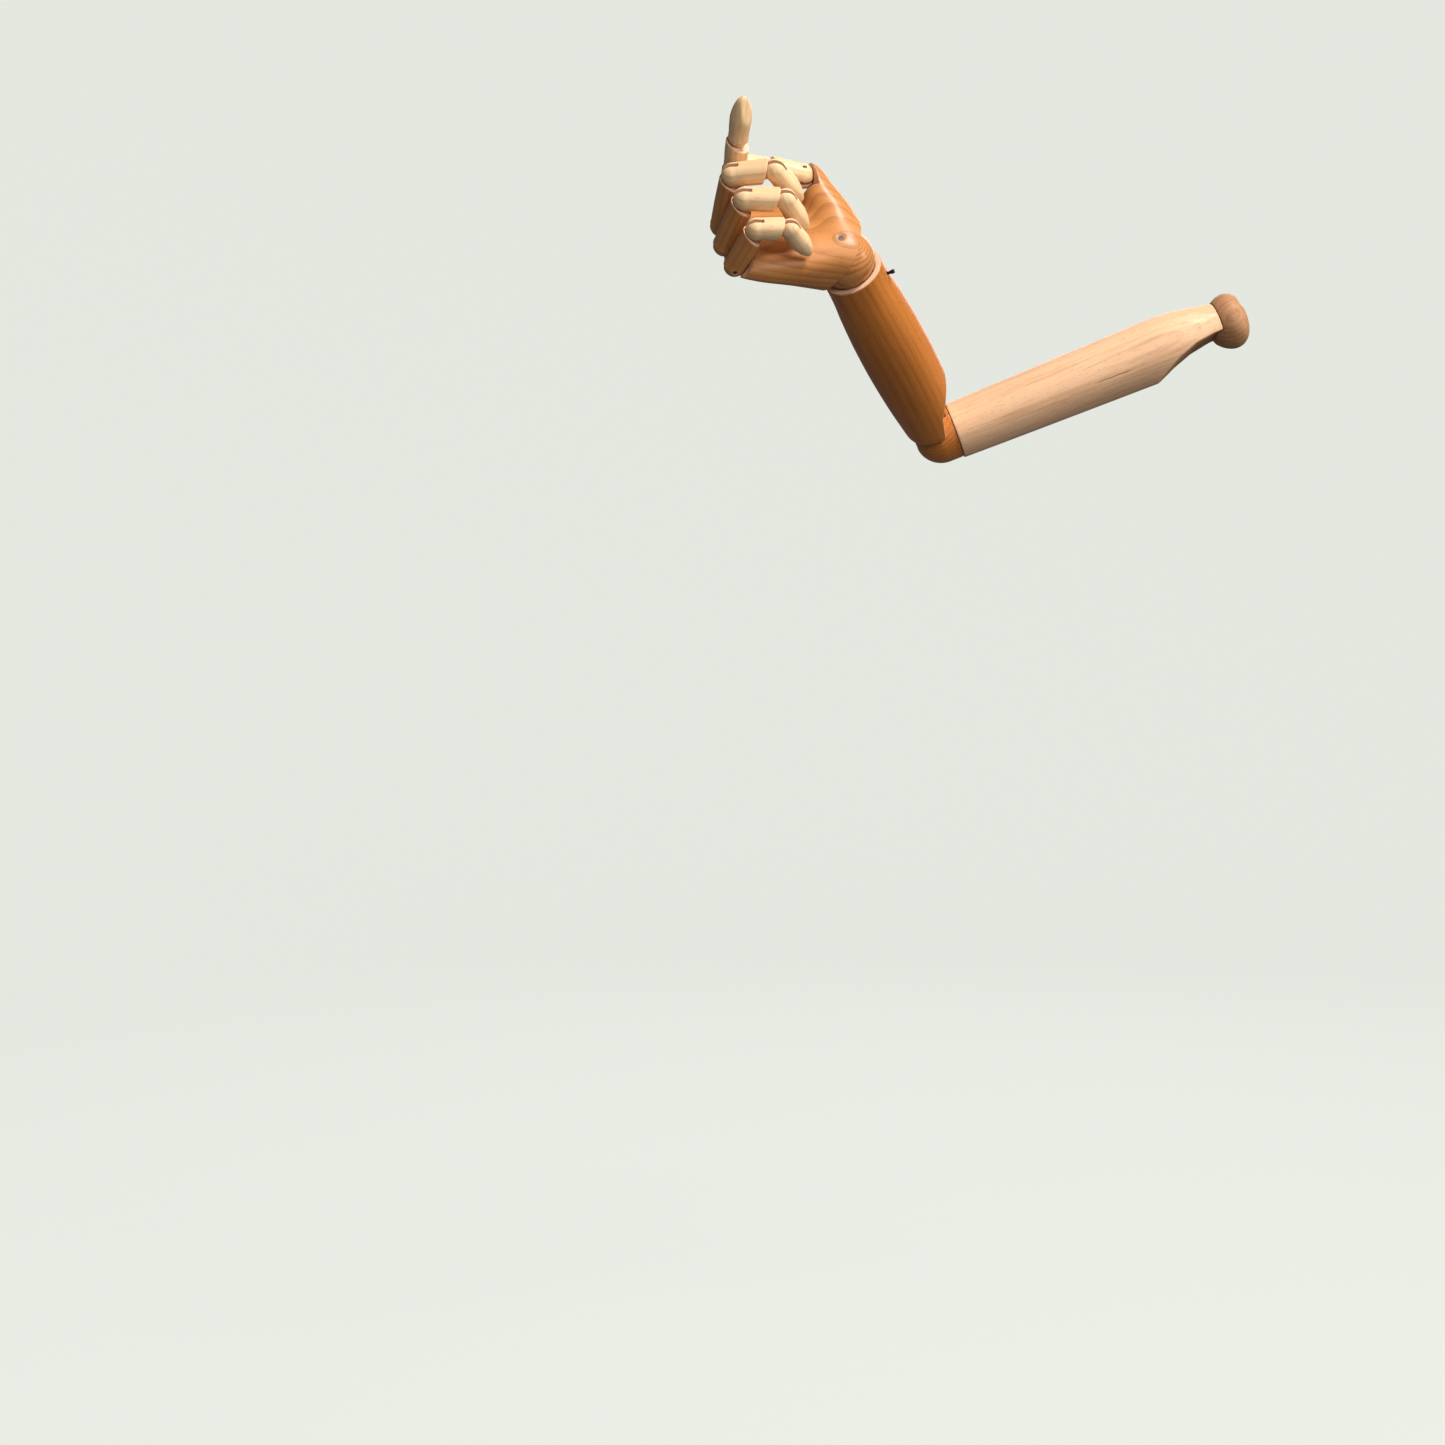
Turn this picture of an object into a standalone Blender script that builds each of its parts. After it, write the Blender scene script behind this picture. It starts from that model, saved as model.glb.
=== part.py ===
"""Jointed wooden mannequin arm with an articulated right hand.

The arm hangs from a shoulder knob, whose slot takes the hinge plate of a dress form. Every hinge is a
wooden ball end with a saw slot. A thin tongue, fixed in the neighbouring piece, enters the slot and is
pinned there.

Frame: metres, +Z up. The origin is the centre of the shoulder knob. Each joint has an empty at its pivot:
local +Z runs along the limb towards the fingertips, and local +X is the hinge axis. On the upper arm local
+X points up. On the hand local -Y is the palm side and local +X is the thumb side.
"""

import math

import bmesh
import bpy
from mathutils import Matrix, Vector
from mathutils.geometry import convex_hull_2d

MM = 0.001
GAP = 0.3 * MM  # between two faces that stay still
TURNING_GAP = 0.45 * MM  # between a ball and its cup

# Pose of the arm, in degrees
ARM_YAW = -9.0
ARM_PITCH = -110.6
ELBOW_ROLL = 35.8
ELBOW_BEND = 83.0
WRIST_ROLL = -16.0
WRIST_BEND = -52.0

# Shoulder knob, along the arm's axis: radius, height
KNOB_PROFILE = (
    (0.0, -10.2),
    (6.0, -10.4),
    (12.0, -9.4),
    (16.5, -7.2),
    (19.8, -3.5),
    (21.0, 1.0),
    (20.3, 5.5),
    (18.0, 10.0),
    (15.0, 13.5),
    (11.0, 16.0),
    (0.0, 16.5),
)
KNOB_SEAT = 10.3 * MM  # height of the face that the upper arm meets
KNOB_LIP = -7.3 * MM  # the knob runs on under the neck below this level
KNOB_SLOT_TURN = 150.0
KNOB_SLOT = (3.6 * MM, 22.0 * MM)
KNOB_SLOT_FLOOR = 2.0 * MM
KNOB_SLOT_DRAFT = 0.05 * MM  # the slot is this much wider and deeper at its second wall
KNOB_GROOVE_RADIUS = 8.0 * MM
KNOB_GROOVE_FLOOR = 9.6 * MM  # the hollow across the knob at the slot's mouth
DOWEL_RADIUS = 4.0 * MM
DOWEL_SPAN = (4.5 * MM, 34.0 * MM)

# Upper arm: radius, distance from the knob's centre
UPPER_LENGTH = 231.2 * MM
UPPER_PROFILE = (
    (17.5, 10.6),
    (19.5, 21.0),
    (22.5, 36.0),
    (24.0, 56.0),
    (23.8, 81.0),
    (23.3, 121.0),
    (22.6, 171.0),
    (21.9, 212.0),
    (21.7, 220.3),
)
# Outline of the hollow under the neck: height, distance from the knob's centre
SCOOP = ((-23.9, 65.0), (-21.0, 60.0), (-15.0, 48.0), (-9.5, 33.0), (-7.0, 17.5), (-7.0, -5.0))

# Elbow
ELBOW_RADIUS = 20.6 * MM
ELBOW_FLAT = 10.6 * MM
TENON_RADIUS = 7.5 * MM
TENON_END = 45.0 * MM
ELBOW_SLOT_FLOOR = -8.0 * MM
ELBOW_TONGUE = {"thickness": 4.0 * MM, "eye": 7.2 * MM, "width": 10.0 * MM, "length": 45.0 * MM}
ELBOW_PIN = (2.25 * MM, -12.0 * MM, 19.0 * MM)  # radius, blind end, open end
TONGUE_PIN_RADIUS = 1.5 * MM
TONGUE_PIN_HEIGHT = 30.0 * MM

# Forearm: radius, distance from the elbow's pivot
FOREARM_LENGTH = 191.9 * MM
FOREARM_PROFILE = (
    (17.5, 13.5),
    (20.5, 15.0),
    (22.2, 18.5),
    (23.0, 27.0),
    (24.7, 55.0),
    (25.5, 88.0),
    (25.2, 112.0),
    (24.6, 128.0),
    (23.3, 148.0),
    (21.9, 163.0),
    (21.4, 175.0),
    (21.4, 181.0),
)
# The inner end is cut away so that the forearm can fold: distance from the elbow's pivot, side
INNER_CUT = ((-3.0, 0.0), (-3.0, 13.0), (-9.0, 36.0), (-25.6, 61.3), (-45.0, 61.3), (-45.0, 0.0))

# Wrist
BALL_RADIUS = 19.7 * MM
WRIST_TONGUE = {"thickness": 3.5 * MM, "eye": 7.2 * MM, "width": 8.0 * MM, "length": 21.5 * MM}
WRIST_SWING = (-62.0, 17.0)
SHANK_RADIUS = 5.2 * MM
SHANK_SPAN = (-54.5 * MM, -21.0 * MM)
WRIST_PIN = (2.0 * MM, -12.0 * MM, 17.5 * MM)
SCREW_DROP = 22.4 * MM
SCREW_TURN = -105.0
SCREW_RADIUS = 1.1 * MM
SCREW_HEAD = (1.45 * MM, 24.2 * MM, 26.6 * MM)  # radius, start, end
PALM_PIN_RADIUS = 1.5 * MM
PALM_PIN_SIDE = -3.5 * MM
PALM_PIN_HEIGHT = 9.4 * MM
PALM_PIN_SPAN = (6.0 * MM, 20.3 * MM)

# Palm sections: height from the wrist, little-finger side, thumb side, palm, back
PALM_SECTIONS = (
    (-14.0, -17.0, 17.0, 17.0, 17.0),
    (-4.0, -21.0, 21.0, 21.0, 21.0),
    (8.0, -22.0, 22.0, 21.5, 21.0),
    (22.0, -26.0, 26.0, 19.0, 18.0),
    (38.0, -30.5, 31.0, 16.0, 14.0),
    (55.0, -34.5, 35.5, 13.0, 11.0),
    (68.0, -35.5, 37.0, 11.0, 9.5),
    (80.0, -34.8, 37.0, 10.0, 9.0),
    (92.0, -34.5, 36.8, 10.0, 9.0),
)
# Thumb mound: centre on the hand, radius
THUMB_MOUND = (
    ((10.0, -4.0, 4.0), 17.0),
    ((24.0, -12.0, 15.0), 15.5),
    ((36.0, -18.5, 26.0), 12.5),
    ((44.0, -23.0, 33.0), 10.6),
    ((46.0, -24.0, 39.0), 10.2),
)
HEEL_RIM = ((-20.5, -4.0), (17.5, 12.5))  # two points on the heel's slanted rim, palm side first
# Outline of the space in front of a knuckle: back, distance from the knuckle
KNUCKLE_CUT = ((-30.0, -18.4), (-1.0, -8.5), (8.5, -1.2), (30.0, -1.2), (30.0, 40.0), (-30.0, 40.0))

# Each finger: knuckle on the hand, splay, bends at rest, and the phalanges' lengths and radii
FINGERS = {
    "index": {
        "knuckle": (28.0, 0.0, 84.0), "splay": 1.0, "bends": (84.0, 0.0, 0.0),
        "lengths": (37.0, 23.0, 30.0), "radii": (8.3, 8.0, 7.4), "pad_turn": -40.0,
    },
    "middle": {
        "knuckle": (9.5, 0.0, 88.0), "splay": -1.0, "bends": (88.0, 71.0, 62.0),
        "lengths": (43.0, 28.0, 31.0), "radii": (8.4, 8.1, 7.5), "pad_turn": 0.0,
    },
    "ring": {
        "knuckle": (-9.0, 0.0, 85.0), "splay": -3.0, "bends": (97.0, 72.0, 60.0),
        "lengths": (41.0, 27.0, 30.0), "radii": (8.2, 7.9, 7.3), "pad_turn": 0.0,
    },
    "little": {
        "knuckle": (-27.0, 0.0, 77.0), "splay": -6.0, "bends": (103.0, 67.0, 56.0),
        "lengths": (34.0, 22.0, 27.0), "radii": (7.8, 7.5, 6.9), "pad_turn": 0.0,
    },
    "thumb": {
        "knuckle": (46.0, -24.0, 39.0), "splay": 0.0, "bends": (0.0, 5.0),
        "lengths": (27.0, 26.0), "radii": (8.7, 7.8), "pad_turn": 0.0,
    },
}
BALL_STEP = 0.2 * MM  # a ball end is this much smaller than its phalanx
SLOT_TOP = 4.6 * MM  # a finger's slot ends this far past the pivot
FINGER_TONGUE = {"thickness": 2.3 * MM, "eye": 3.8 * MM, "width": 5.0 * MM, "length": 14.0 * MM}
FINGER_PIN_RADIUS = 1.2 * MM
FINGER_PIN_START = -5.0 * MM  # the pins go in from the thumb side, and their holes end here
RIM_DROP = 6.5 * MM  # a finger's cup is cut off this far before the next pivot, on the axis
RIM_RISE = 3.0 * MM  # and this much higher at the back, lower at the palm side
PAD_START = 0.45
PAD_SLOPE = 20.0

COLOURS = {
    "varnished_wood": ((0.52, 0.24, 0.08, 1.0), 0.32, 0.0),
    "pale_wood": ((0.74, 0.52, 0.31, 1.0), 0.45, 0.0),
    "arm_wood": ((0.78, 0.58, 0.38, 1.0), 0.5, 0.0),
    "knob_wood": ((0.42, 0.25, 0.14, 1.0), 0.55, 0.0),
    "tongue_fibre": ((0.33, 0.16, 0.09, 1.0), 0.6, 0.0),
    "steel": ((0.5, 0.5, 0.5, 1.0), 0.35, 1.0),
}


def clear_scene():
    for obj in list(bpy.data.objects):
        bpy.data.objects.remove(obj, do_unlink=True)


def make_materials():
    made = {}
    for name, (colour, roughness, metallic) in COLOURS.items():
        material = bpy.data.materials.new(name)
        material.use_nodes = True
        shader = material.node_tree.nodes["Principled BSDF"]
        shader.inputs["Base Color"].default_value = colour
        shader.inputs["Roughness"].default_value = roughness
        shader.inputs["Metallic"].default_value = metallic
        made[name] = material
    return made


def pivot(name, parent, matrix):
    """An empty at a joint, placed from its parent's frame."""
    empty = bpy.data.objects.new(name, None)
    empty.empty_display_size = 10 * MM
    bpy.context.collection.objects.link(empty)
    empty.parent = parent
    empty.matrix_basis = matrix
    return empty


def place(name, mesh, parent, matrix, material):
    """One object on a pivot. With no material it is a cutter, which stays out of the model."""
    obj = bpy.data.objects.new(name, mesh)
    bpy.context.collection.objects.link(obj)
    obj.parent = parent
    obj.matrix_basis = matrix
    if material is None:
        obj.hide_render = True
        obj.display_type = "WIRE"
        return obj
    mesh.materials.append(MATERIALS[material])
    mesh.shade_smooth()
    mesh.set_sharp_from_angle(angle=math.radians(35))
    return obj


def mesh_from(bm, name):
    bmesh.ops.recalc_face_normals(bm, faces=bm.faces)
    mesh = bpy.data.meshes.new(name)
    bm.to_mesh(mesh)
    bm.free()
    return mesh


def lathe(name, profile, segments):
    """A closed solid turned about Z from (radius, height) points in metres."""
    bm = bmesh.new()
    rings = []
    for radius, height in profile:
        if radius < 1e-6:
            rings.append([bm.verts.new((0, 0, height))])
            continue
        ring = []
        for index in range(segments):
            angle = 2 * math.pi * (index + 0.5) / segments
            ring.append(bm.verts.new((radius * math.cos(angle), radius * math.sin(angle), height)))
        rings.append(ring)
    for low, high in zip(rings, rings[1:]):
        for index in range(segments):
            after = (index + 1) % segments
            corners = [low[index % len(low)], low[after % len(low)]]
            corners += [high[after % len(high)], high[index % len(high)]]
            bm.faces.new(list(dict.fromkeys(corners)))
    for ring in (rings[0], rings[-1]):
        if len(ring) > 1:
            bm.faces.new(ring)
    return mesh_from(bm, name)


def loft(name, rings):
    """A closed solid through rings of equal length, each a list of points."""
    bm = bmesh.new()
    loops = [[bm.verts.new(point) for point in ring] for ring in rings]
    count = len(loops[0])
    for low, high in zip(loops, loops[1:]):
        for index in range(count):
            after = (index + 1) % count
            bm.faces.new([low[index], low[after], high[after], high[index]])
    bm.faces.new(loops[0])
    bm.faces.new(loops[-1])
    return mesh_from(bm, name)


def slab(name, outline, half_width):
    """A plate: an outline of (y, z) points, as thick as twice half_width along X."""
    rings = [[Vector((side, y, z)) for y, z in outline] for side in (-half_width, half_width)]
    return loft(name, rings)


def ball(name, radius, segments):
    bm = bmesh.new()
    bmesh.ops.create_uvsphere(bm, u_segments=segments, v_segments=segments // 2, radius=radius)
    return mesh_from(bm, name)


def rod(name, radius, low, high, sides=10):
    return lathe(name, ((radius, low), (radius, high)), sides)


def box(name, low, high):
    outline = ((low[1], low[2]), (high[1], low[2]), (high[1], high[2]), (low[1], high[2]))
    rings = [[Vector((side, y, z)) for y, z in outline] for side in (low[0], high[0])]
    return loft(name, rings)


def combine(obj, operation, name, mesh, matrix=None):
    """Adds a Boolean to obj. The other solid sits on the same pivot."""
    other = place(f"{obj.name}_{name}", mesh, obj.parent, matrix or Matrix.Identity(4), None)
    modifier = obj.modifiers.new(name, "BOOLEAN")
    modifier.operation = operation
    modifier.solver = "EXACT"
    modifier.object = other


def cut(obj, name, mesh, matrix=None):
    combine(obj, "DIFFERENCE", name, mesh, matrix)


def add(obj, name, mesh, matrix=None):
    combine(obj, "UNION", name, mesh, matrix)


def turned_to(axis, degrees, offset=(0, 0, 0)):
    return Matrix.Translation(offset) @ Matrix.Rotation(math.radians(degrees), 4, axis)


ACROSS = Matrix.Rotation(math.radians(90), 4, "Y")  # turns a rod on Z to lie along X


def tongue_mesh(name, sizes):
    """A plate with a round eye at the origin and a straight tail down -Z."""
    half = sizes["width"] / 2
    start = math.asin(half / sizes["eye"])
    outline = []
    steps = 10
    for step in range(steps + 1):
        angle = -math.pi / 2 + start + (2 * math.pi - 2 * start) * step / steps
        outline.append((sizes["eye"] * math.cos(angle), sizes["eye"] * math.sin(angle)))
    outline.append((-half, -sizes["length"]))
    outline.append((half, -sizes["length"]))
    return slab(name, outline, sizes["thickness"] / 2)


def swing_slot(name, half_width, eye, half_tail, reach, first, last):
    """A slot for a tongue that swings about X from first to last, in degrees from -Z towards -Y."""
    points = []
    for step in range(24):
        angle = 2 * math.pi * step / 24
        points.append(Vector((eye * math.cos(angle), eye * math.sin(angle))))
    for step in range(7):
        angle = math.radians(first + (last - first) * step / 6)
        along = Vector((-math.sin(angle), -math.cos(angle)))
        aside = Vector((along.y, -along.x)) * half_tail
        points += [along * reach + aside, along * reach - aside]
    outline = [tuple(points[index]) for index in convex_hull_2d(points)]
    return slab(name, outline, half_width)


def pin(name, parent, radius, low, high):
    """A pin along X, at its pivot."""
    place(name, rod(name, radius, low, high), parent, ACROSS, "steel")


def hole_across(obj, name, radius, low, high):
    cut(obj, name, rod(name, radius, low, high), ACROSS)


def make_shoulder(arm):
    knob = place("shoulder_knob", lathe("shoulder_knob", in_metres(KNOB_PROFILE), 32), arm,
                 Matrix.Identity(4), "knob_wood")
    reach = 40 * MM
    cut(knob, "seat", box("seat", (KNOB_LIP, -reach, KNOB_SEAT), (reach, reach, reach)))
    width, breadth = KNOB_SLOT
    groove = rod("groove", KNOB_GROOVE_RADIUS, -reach, reach, 32)
    across = Matrix.Translation((0, 0, KNOB_GROOVE_FLOOR + KNOB_GROOVE_RADIUS))
    cut(knob, "groove", groove, turned_to("Y", KNOB_SLOT_TURN) @ across @ turned_to("X", 90))
    rings = []
    for side, draft in ((-width / 2, 0), (width / 2, KNOB_SLOT_DRAFT)):
        half, floor = breadth / 2 + draft, KNOB_SLOT_FLOOR - draft
        outline = ((-half, floor), (half, floor), (half, reach), (-half, reach))
        rings.append([Vector((side, y, z)) for y, z in outline])
    cut(knob, "slot", loft("slot", rings), turned_to("Y", KNOB_SLOT_TURN))
    low, high = DOWEL_SPAN
    cut(knob, "dowel_hole", rod("hole", DOWEL_RADIUS + GAP, low - GAP, reach, 14))
    place("shoulder_dowel", rod("shoulder_dowel", DOWEL_RADIUS, low, high, 14), arm,
          Matrix.Identity(4), "pale_wood")


def in_metres(points):
    return [(first * MM, second * MM) for first, second in points]


def make_upper_arm(arm):
    body = place("upper_arm", lathe("upper_arm", in_metres(UPPER_PROFILE), 32), arm,
                 Matrix.Identity(4), "arm_wood")
    far = 40.0
    outline = list(SCOOP) + [(-far, SCOOP[-1][1]), (-far, SCOOP[0][1])]
    scoop = slab("scoop", [(-x * MM, z * MM) for x, z in outline], far * MM)
    cut(body, "scoop", scoop, Matrix.Rotation(math.radians(90), 4, "Z"))
    floor = UPPER_LENGTH - TENON_END - GAP
    cut(body, "tenon_hole", rod("hole", TENON_RADIUS + TURNING_GAP, floor, UPPER_LENGTH, 16))
    cut(body, "dowel_hole", rod("hole", DOWEL_RADIUS + GAP, 0, DOWEL_SPAN[1] + GAP, 14))


def dome(radius, flat, steps):
    """The profile of a round end on a short straight stretch, from the flat up to the pole."""
    points = [(radius, -flat)]
    for step in range(steps + 1):
        angle = math.pi / 2 * step / steps
        points.append((radius * math.cos(angle), radius * math.sin(angle)))
    return points


def make_elbow(elbow):
    profile = [(TENON_RADIUS, -TENON_END), (TENON_RADIUS, -ELBOW_FLAT)]
    profile += dome(ELBOW_RADIUS, ELBOW_FLAT, 8)
    knuckle = place("elbow_knuckle", lathe("elbow_knuckle", profile, 32), elbow,
                    Matrix.Identity(4), "varnished_wood")
    half = ELBOW_TONGUE["thickness"] / 2 + GAP
    far = 30 * MM
    cut(knuckle, "slot", box("slot", (-half, -far, ELBOW_SLOT_FLOOR), (half, far, far)))
    radius, low, high = ELBOW_PIN
    hole_across(knuckle, "pin_hole", radius + GAP, low - GAP, far)
    pin("elbow_pin", elbow, radius, low, high)


def make_forearm(forearm):
    body = place("forearm", lathe("forearm", in_metres(FOREARM_PROFILE), 32), forearm,
                 Matrix.Identity(4), "varnished_wood")
    cut(body, "elbow_cup", ball("elbow_cup", ELBOW_RADIUS + TURNING_GAP, 32))
    cut(body, "inner_cut", slab("inner_cut", in_metres(INNER_CUT), 40 * MM))
    half = ELBOW_TONGUE["thickness"] / 2 + GAP
    edge = ELBOW_TONGUE["width"] / 2 + GAP
    top = ELBOW_TONGUE["length"] + GAP
    cut(body, "mortise", box("mortise", (-half, -edge, 0), (half, edge, top)))
    flip = Matrix.Rotation(math.pi, 4, "X")
    tongue = place("elbow_tongue", tongue_mesh("elbow_tongue", ELBOW_TONGUE), forearm, flip,
                   "tongue_fibre")
    hole_across(tongue, "pin_hole", ELBOW_PIN[0] + GAP, -10 * MM, 10 * MM)

    # The tongue's own pin goes in from the far side and stops short of the near side.
    at = Matrix.Translation((0, 0, TONGUE_PIN_HEIGHT)) @ ACROSS
    low, high = -8 * MM, 21 * MM
    hole = rod("hole", TONGUE_PIN_RADIUS + GAP, low - GAP, 40 * MM)
    cut(body, "tongue_pin_hole", hole, at)
    cut(tongue, "tongue_pin_hole", rod("hole", TONGUE_PIN_RADIUS + GAP, -9 * MM, 9 * MM), at)
    place("elbow_tongue_pin", rod("elbow_tongue_pin", TONGUE_PIN_RADIUS, low, high), forearm, at,
          "steel")

    socket = Matrix.Translation((0, 0, FOREARM_LENGTH))
    cut(body, "socket", ball("socket", BALL_RADIUS + TURNING_GAP, 32), socket)
    low = FOREARM_LENGTH + SHANK_SPAN[0] - GAP
    cut(body, "bore", rod("bore", SHANK_RADIUS + GAP, low, FOREARM_LENGTH, 16))
    make_set_screw(body, forearm)


def make_set_screw(body, forearm):
    turn = Matrix.Rotation(math.radians(SCREW_TURN), 4, "Z")
    at = Matrix.Translation((0, 0, FOREARM_LENGTH - SCREW_DROP)) @ turn @ ACROSS
    cut(body, "screw_hole", rod("hole", SCREW_RADIUS + GAP, 0, 40 * MM), at)
    head, neck, top = SCREW_HEAD
    low = SHANK_RADIUS + GAP
    profile = ((SCREW_RADIUS, low), (SCREW_RADIUS, neck), (head, neck), (head, top))
    place("wrist_set_screw", lathe("wrist_set_screw", profile, 12), forearm, at, "steel")


def make_wrist(wrist):
    tongue = place("wrist_tongue", tongue_mesh("wrist_tongue", WRIST_TONGUE), wrist,
                   Matrix.Identity(4), "steel")
    low, high = SHANK_SPAN
    add(tongue, "shank", rod("shank", SHANK_RADIUS, low, high, 16))
    hole_across(tongue, "pin_hole", WRIST_PIN[0] + GAP, -10 * MM, 10 * MM)


def palm_ring(section, count=28):
    """One palm section as a loop of points, a little squarer than an ellipse."""
    height, little, thumb, palm, back = (value * MM for value in section)
    points = []
    for index in range(count):
        angle = 2 * math.pi * index / count
        across = math.copysign(abs(math.cos(angle)) ** 0.83, math.cos(angle))
        deep = math.copysign(abs(math.sin(angle)) ** 0.83, math.sin(angle))
        x = across * (thumb if across > 0 else -little)
        y = deep * (back if deep > 0 else palm)
        points.append(Vector((x, y, height)))
    return points


def mound_rings(count=18):
    """Rings along the thumb mound, each square to the line between its neighbours."""
    centres = [Vector(centre) * MM for centre, _ in THUMB_MOUND]
    rings = []
    for index, (_, radius) in enumerate(THUMB_MOUND):
        before = centres[max(index - 1, 0)]
        after = centres[min(index + 1, len(centres) - 1)]
        turn = (after - before).to_track_quat("Z", "Y")
        ring = []
        for step in range(count):
            angle = 2 * math.pi * step / count
            spoke = Vector((math.cos(angle), math.sin(angle), 0)) * radius * MM
            ring.append(centres[index] + turn @ spoke)
        rings.append(ring)
    return rings


def make_palm(hand):
    palm = place("palm", loft("palm", [palm_ring(section) for section in PALM_SECTIONS]), hand,
                 Matrix.Identity(4), "varnished_wood")
    add(palm, "thumb_mound", loft("thumb_mound", mound_rings()))
    (low_y, low_z), (high_y, high_z) = HEEL_RIM
    slope = math.degrees(math.atan2(high_z - low_z, high_y - low_y))
    far = 80 * MM
    heel = turned_to("X", slope, (0, low_y * MM, low_z * MM))
    cut(palm, "heel", box("heel", (-far, -far, -far), (far, far, 0)), heel)
    cut(palm, "ball_cup", ball("ball_cup", BALL_RADIUS + TURNING_GAP, 32))
    hole = rod("hole", PALM_PIN_RADIUS + GAP, 0, 40 * MM)
    cut(palm, "pin_hole", hole, turned_to("X", 90, (PALM_PIN_SIDE, 0, PALM_PIN_HEIGHT)))
    cut_knuckle_spaces(palm)
    for name, finger in FINGERS.items():
        at = knuckle_matrix(name)
        if name == "thumb":
            cut_rim(palm, name, at, finger["radii"][0] * MM)
        open_socket(palm, name, at, finger["radii"][0] * MM)
        finger_tongue(f"{name}_base_tongue", hand, at)


def knuckle_matrix(name):
    """The frame of a finger's first joint on the hand, before it bends."""
    finger = FINGERS[name]
    turn = -90 if name == "thumb" else 0
    at = Matrix.Translation(Vector(finger["knuckle"]) * MM)
    return at @ turned_to("Z", turn) @ turned_to("Y", finger["splay"])


def cut_knuckle_spaces(palm):
    """Shapes the palm's far end, with one step for each finger."""
    names = [name for name in FINGERS if name != "thumb"]
    sides = [FINGERS[name]["knuckle"][0] for name in names]
    edges = [60.0]
    edges += [(left + right) / 2 for left, right in zip(sides, sides[1:])]
    edges.append(-60.0)
    for name, high, low in zip(names, edges, edges[1:]):
        height = FINGERS[name]["knuckle"][2] * MM
        # The spaces overlap by a hair, so that no skin is left standing between two of them.
        space = slab("space", in_metres(KNUCKLE_CUT), ((high - low) / 2 + 0.02) * MM)
        cut(palm, f"{name}_space", space, Matrix.Translation(((high + low) / 2 * MM, 0, height)))


def cut_rim(obj, name, at, radius):
    """Ends a piece with a slanted face short of its next joint, for the next ball to fold over."""
    reach = 40 * MM
    slope = math.degrees(math.atan2(RIM_RISE, radius))
    rim = at @ Matrix.Translation((0, 0, -RIM_DROP)) @ turned_to("X", slope)
    size = radius + 4 * MM
    cut(obj, f"{name}_rim", box("rim", (-size, -size, 0), (size, size, reach)), rim)


def open_socket(obj, name, at, radius):
    """Cuts the cup of the next ball and the mortise of its tongue, at the joint's frame."""
    cup = radius - BALL_STEP + TURNING_GAP
    cut(obj, f"{name}_cup", ball("cup", cup, 20), at)
    half = FINGER_TONGUE["thickness"] / 2 + GAP
    edge = FINGER_TONGUE["width"] / 2 + GAP
    floor = -FINGER_TONGUE["length"] - GAP
    cut(obj, f"{name}_mortise", box("mortise", (-half, -edge, floor), (half, edge, 0)), at)


def finger_tongue(name, parent, at):
    tongue = place(name, tongue_mesh(name, FINGER_TONGUE), parent, at, "tongue_fibre")
    cut(tongue, "pin_hole", rod("hole", FINGER_PIN_RADIUS + GAP, -5 * MM, 5 * MM), at @ ACROSS)


def make_wrist_ball(hand):
    wood = place("wrist_ball", ball("wrist_ball", BALL_RADIUS, 32), hand, Matrix.Identity(4),
                 "varnished_wood")
    half = WRIST_TONGUE["thickness"] / 2 + GAP
    tail = WRIST_TONGUE["width"] / 2 + GAP
    eye = WRIST_TONGUE["eye"] + 2 * GAP
    slot = swing_slot("slot", half, eye, tail, 26 * MM, *WRIST_SWING)
    cut(wood, "slot", slot)
    radius, low, high = WRIST_PIN
    hole_across(wood, "wrist_pin_hole", radius + GAP, low - GAP, 30 * MM)
    pin("wrist_pin", hand, radius, low, high)
    at = turned_to("X", 90, (PALM_PIN_SIDE, 0, PALM_PIN_HEIGHT))
    low, high = PALM_PIN_SPAN
    cut(wood, "palm_pin_hole", rod("hole", PALM_PIN_RADIUS + GAP, low - GAP, 40 * MM), at)
    place("palm_pin", rod("palm_pin", PALM_PIN_RADIUS, low, high), hand, at, "steel")


def ball_end(radius):
    """The profile of a phalanx's ball end and the start of its body."""
    small = radius - BALL_STEP
    points = []
    steps = 5
    for step in range(steps):
        angle = -math.pi / 2 + math.pi / 2 * step / steps
        points.append((small * math.cos(angle), small * math.sin(angle)))
    return points + [(small, 0.0), (small - BALL_STEP, 3 * MM)]


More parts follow.
